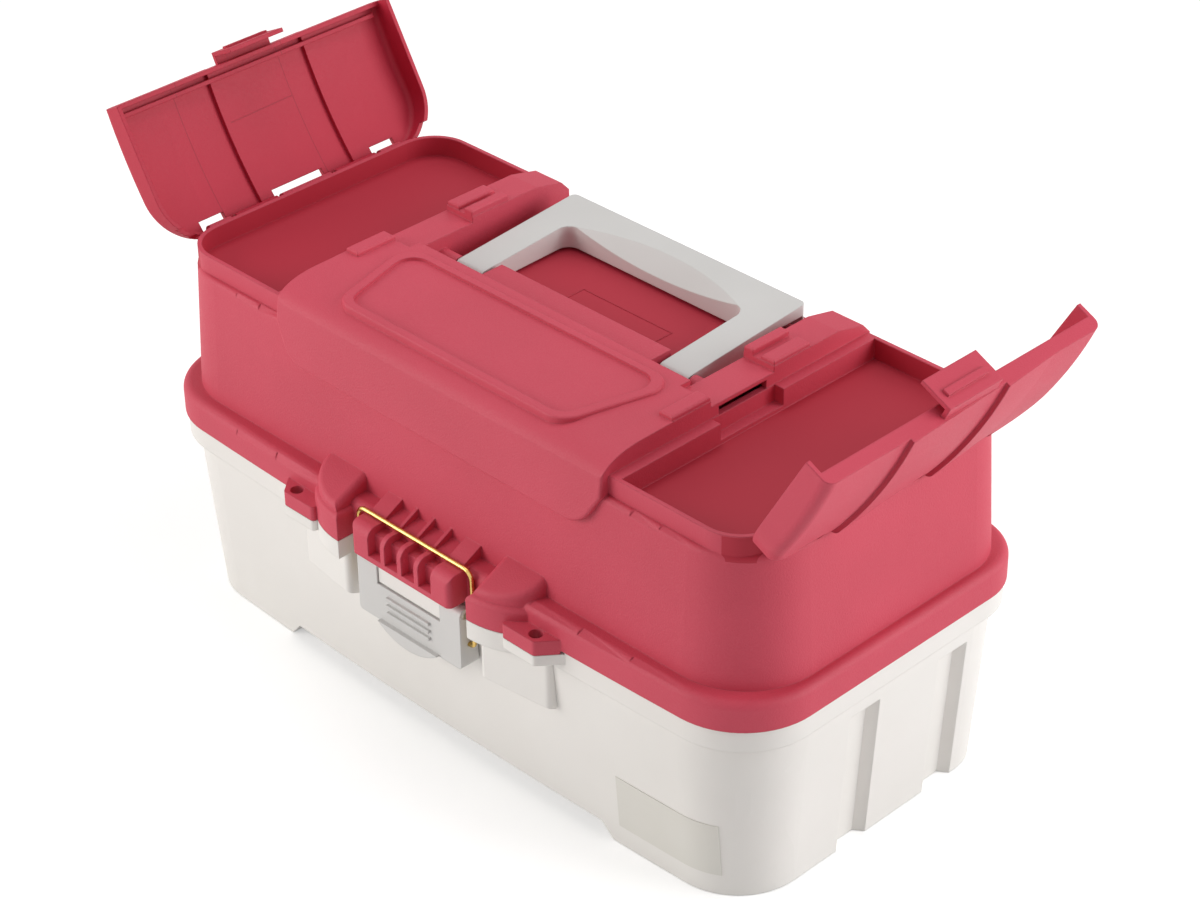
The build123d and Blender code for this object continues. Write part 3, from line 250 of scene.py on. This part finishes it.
def moulded(
    name, dark, light, roughness, grain, grain_depth, rounding, specular=0.5, shade_boxes=(), recess_shade=(), lines=()
):
    """Moulded plastic: a cloud in the colour, a fine grain and softened edges.

    The shade boxes are smooth and take the recess_shade colour, a painted shade, and the lines are scored
    into the surface and darkened with painted shade.
    """
    material, tree, shader = new_material(name)
    cloud = noise(tree, cloud_scale, 3.0)
    colour = ramp(tree, cloud, 0.35, 0.65, (*dark, 1.0), (*light, 1.0))
    fine = noise(tree, grain, 2.0, 0.55)
    low, high = roughness
    rough = ramp(tree, fine, 0.3, 0.7, (low, low, low, 1.0), (high, high, high, 1.0))
    height = fine
    shader.inputs["Specular IOR Level"].default_value = specular
    # Painted shade: the bin and pocket floors take a darker red than the rest, and also lose the grain and
    # turn duller
    if shade_boxes:
        smooth_and_shaded = within(tree, shade_boxes)
        dull = deep_roughness * low
        colour = blend(tree, smooth_and_shaded, colour, (*recess_shade, 1.0))
        rough = blend(tree, smooth_and_shaded, rough, (dull, dull, dull, 1.0))
        height = math_node(tree, "MULTIPLY", fine, math_node(tree, "SUBTRACT", 1.0, smooth_and_shaded))
    # Painted shade: the scored lines are darkened in colour as well as cut into the surface
    if lines:
        scored = within(tree, lines)
        height = math_node(tree, "MULTIPLY_ADD", scored, score_depth, height)
        line_shade = math_node(tree, "MULTIPLY", scored, score_shade_mix)
        colour = blend(tree, line_shade, colour, (*(score_shade * part for part in dark), 1.0))
    tree.links.new(colour, shader.inputs["Base Color"])
    tree.links.new(rough, shader.inputs["Roughness"])
    bump(tree, shader, height, grain_depth, grain_strength, rounding)
    return material


def metal(name, dark, light, roughness, scale):
    """Metal with a faint streak in its colour and gloss."""
    material, tree, shader = new_material(name)
    streak = noise(tree, scale, 4.0, 0.6)
    colour = ramp(tree, streak, 0.3, 0.7, (*dark, 1.0), (*light, 1.0))
    tree.links.new(colour, shader.inputs["Base Color"])
    low, high = roughness
    rough = ramp(tree, streak, 0.3, 0.7, (low, low, low, 1.0), (high, high, high, 1.0))
    tree.links.new(rough, shader.inputs["Roughness"])
    shader.inputs["Metallic"].default_value = 1.0
    bump(tree, shader, streak, metal_grain_depth, metal_grain_strength, metal_rounding)
    return material


# Boxes in millimetres: the floors of the bins and the pocket, which take a painted shade, and the lines
# inside the left door, which are darkened with painted shade
bins = ((116.5, 188.5), (-83.0, 83.0), (184.0, 196.2))
pocket = ((-90.5, 90.5), (-13.5, 90.0), (186.0, 188.2))
score_lines = (
    ((150.0, 260.0), (-48.3, -47.7), (150.0, 300.0)),
    ((150.0, 260.0), (19.4, 20.0), (150.0, 300.0)),
    ((150.0, 260.0), (-22.0, 19.4), (226.2, 226.8)),
)
crimson = ((0.54, 0.042, 0.078), (0.58, 0.048, 0.088))
# Painted shade: the left door's crimson is a darker copy of the lid's crimson
shaded_crimson = ((0.46, 0.015, 0.042), (0.50, 0.018, 0.048))
# Painted shade: the darker red of the recessed bin and pocket floors
recess_shade = (0.42, 0.006, 0.028)
red = moulded(
    "red_plastic", *crimson, (0.60, 0.70), 1300.0, 0.00034, 0.0009, 0.65, (bins, pocket), recess_shade
)
# The left door takes the darker copy of the crimson, a painted shade
left_red = moulded(
    "left_door_plastic", *shaded_crimson, (0.52, 0.62), 1300.0, 0.00010, 0.0007, 0.4, lines=score_lines
)
right_red = moulded(
    "right_door_plastic", *crimson, (0.52, 0.62), 1300.0, 0.00028, 0.0009, 0.5
)
white = moulded(
    "white_plastic", (0.81, 0.785, 0.75), (0.84, 0.815, 0.782), (0.46, 0.56), 1500.0, 0.00005, 0.0008
)
grey = moulded(
    "grey_plastic", (0.62, 0.61, 0.595), (0.66, 0.65, 0.635), (0.40, 0.50), 1300.0, 0.00004, 0.0008
)
tray = moulded(
    "tray_plastic", (0.74, 0.72, 0.66), (0.78, 0.76, 0.71), (0.38, 0.46), 1100.0, 0.00003, 0.0005
)
divider = moulded(
    "divider_plastic", (0.60, 0.60, 0.59), (0.65, 0.65, 0.64), (0.38, 0.46), 1100.0, 0.00003, 0.0003
)
film = moulded(
    "label_film", (0.70, 0.68, 0.62), (0.73, 0.71, 0.66), (0.30, 0.38), 900.0, 0.00002, 0.0002
)
brass = metal("brass_wire", (0.60, 0.40, 0.11), (0.74, 0.53, 0.19), (0.18, 0.30), 500.0)
steel = metal("plated_steel", (0.50, 0.50, 0.49), (0.62, 0.62, 0.61), (0.26, 0.40), 420.0)

finish_of = {
    "base_white": white,
    "label": film,
    "lid_red": red,
    "handle_grey": grey,
    "bail_brass": brass,
    "pin_steel": steel,
    "tray_white": tray,
    "divider_grey": divider,
    "arm_steel": steel,
}
door_finish = {"left_door": left_red, "right_door": right_red}

# Shading, in radians: corners turn by more than the first angle, and a flat face by less than the last
corner_angle = 0.13
rim_angle = 0.01
flat_angle = 0.004
broad_ratio = 4.0


def smooth_shade(item):
    """Shade curved runs smoothly, and keep corners and the rims of broad flat faces crisp."""
    mesh = item.data
    mesh.polygons.foreach_set("use_smooth", [True] * len(mesh.polygons))
    mesh.set_sharp_from_angle(angle=corner_angle)
    form = bmesh.new()
    form.from_mesh(mesh)
    form.faces.ensure_lookup_table()
    owner = list(range(len(form.faces)))

    def flat(index):
        while owner[index] != index:
            owner[index] = owner[owner[index]]
            index = owner[index]
        return index

    joins = [edge for edge in form.edges if len(edge.link_faces) == 2]
    for edge in joins:
        if edge.calc_face_angle(1.0) < flat_angle:
            first, second = edge.link_faces
            owner[flat(first.index)] = flat(second.index)
    area = {}
    for face in form.faces:
        group = flat(face.index)
        area[group] = area.get(group, 0.0) + face.calc_area()
    for edge in joins:
        small, large = sorted(area[flat(face.index)] for face in edge.link_faces)
        if large > broad_ratio * small and edge.calc_face_angle(1.0) > rim_angle:
            mesh.edges[edge.index].use_edge_sharp = True
    form.free()


for entry in frame["record"]["subparts"]:
    item = nodes[entry["node"]]
    item.data.materials.clear()
    finish = door_finish.get(entry["node"], finish_of[entry["material_slot"]])
    item.data.materials.append(finish)
    smooth_shade(item)


# Frame on the floor of the handle pocket: its plan, the floor's height and its (inset, lift) section
frame_low, frame_high = (-0.025, 0.012), (0.035, 0.032)
pocket_floor = 0.1874
frame_section = ((0.0, -0.0002), (0.0002, 0.0003), (0.0006, 0.0003), (0.0008, -0.0002))


def pocket_frame():
    """Thin raised frame moulded on the floor of the handle pocket."""
    mesh = bpy.data.meshes.new("pocket_frame")
    form = bmesh.new()
    loops = []
    for inset, lift in frame_section:
        left, front = (place + inset for place in frame_low)
        right, rear = (place - inset for place in frame_high)
        plan = ((left, front), (right, front), (right, rear), (left, rear))
        loops.append([form.verts.new((*corner, pocket_floor + lift)) for corner in plan])
    for outer, inner in zip(loops, loops[1:] + loops[:1]):
        for i in range(4):
            j = (i + 1) % 4
            form.faces.new((outer[i], outer[j], inner[j], inner[i]))
    bmesh.ops.recalc_face_normals(form, faces=form.faces)
    form.to_mesh(mesh)
    form.free()
    mesh.materials.append(red)
    piece = bpy.data.objects.new("pocket_frame", mesh)
    bpy.context.scene.collection.objects.link(piece)
    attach(piece, "lid")


pocket_frame()
add_camera()
add_world()
add_floor()
add_area("right_softbox", (1.5, 1.0, 0.75), (0.1, 0.0, 0.1), (1.4, 1.2), 25.0)
add_area("left_softbox", (-1.15, -1.55, 0.75), (-0.05, 0.0, 0.1), (1.4, 1.2), 24.0, warm_white)
add_area("top_softbox", (-0.3, 0.3, 1.9), box_middle, (1.2, 1.2), 11.0)

bpy.context.scene.view_settings.view_transform = "Standard"
